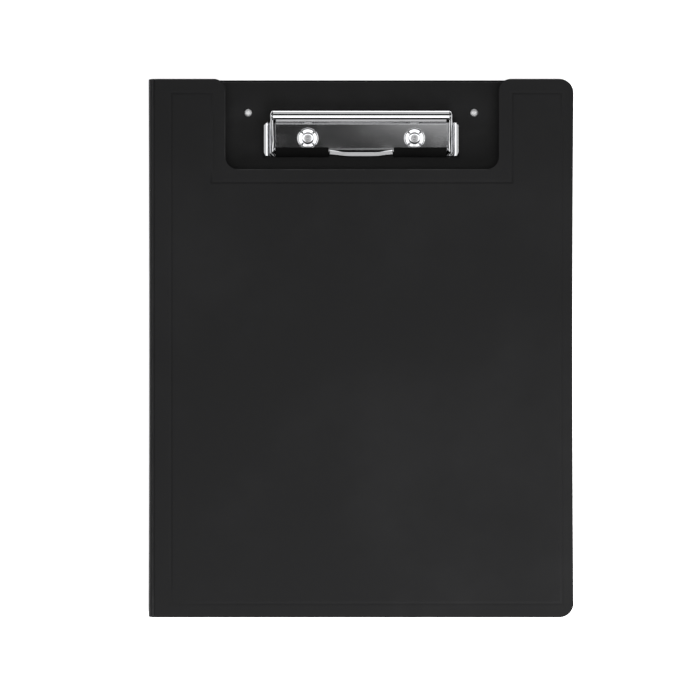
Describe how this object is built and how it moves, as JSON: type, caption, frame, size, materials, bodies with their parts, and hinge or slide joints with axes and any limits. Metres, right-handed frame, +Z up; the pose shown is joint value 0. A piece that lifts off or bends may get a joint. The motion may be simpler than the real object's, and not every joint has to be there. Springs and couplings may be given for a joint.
{
  "type": "clipboard folder",
  "caption": "Foldover clipboard: two plastic covers on a bowed spine, a stiff writing board and a low spring clip whose jaw lifts to grip paper.",
  "frame": {"origin": "under the middle of the closed folder, on the back cover's outer face", "axes": "+X from the spine to the fore edge, +Y towards the clip, +Z up through the closed covers"},
  "size_m": [0.254, 0.322, 0.014],
  "materials": {
    "cover_plastic": "fine-grained black foamed plastic",
    "pocket_plastic": "thin smooth black film",
    "board_plastic": "fine matte black",
    "clip_chrome": "bright nickel plating",
    "rivet_metal": "satin",
    "washer_steel": "bright zinc",
    "grip_rubber": "matte black",
    "pin_steel": "bright drawn steel",
    "spring_steel": "oiled spring wire"
  },
  "bodies": {
    "back": {"back_cover": "cover_plastic", "writing_board": "board_plastic", "clip_base": "clip_chrome", "board_rivet_left": "rivet_metal", "board_rivet_right": "rivet_metal", "clip_rivet_left": "rivet_metal", "clip_rivet_right": "rivet_metal", "board_rivet_washers": "washer_steel", "clip_rivet_washers": "washer_steel", "torsion_spring_left": "spring_steel", "torsion_spring_right": "spring_steel"},
    "spine": {"spine": "cover_plastic"},
    "cover": {"front_cover": "cover_plastic", "inner_pocket": "pocket_plastic"},
    "jaw": {"clip_jaw": "clip_chrome", "jaw_grip_left": "grip_rubber", "jaw_grip_right": "grip_rubber", "pivot_rod": "pin_steel"}
  },
  "joints": [
    {"name": "spine_fold", "type": "hinge", "parent": "back", "child": "spine", "pos_m": [-0.12455, 0, 0.0007], "axis": [0, -1, 0], "range_deg": [0, 180]},
    {"name": "cover_fold", "type": "hinge", "parent": "spine", "child": "cover", "pos_m": [-0.12455, 0, 0.0133], "axis": [0, -1, 0], "range_deg": [0, 180]},
    {"name": "jaw_lift", "type": "hinge", "parent": "back", "child": "jaw", "pos_m": [0, 0.13865, 0.00805], "axis": [-1, 0, 0], "range_deg": [0, 40], "stiffness_Nm_per_rad": 0.3, "springref_deg": -51.57}
  ]
}
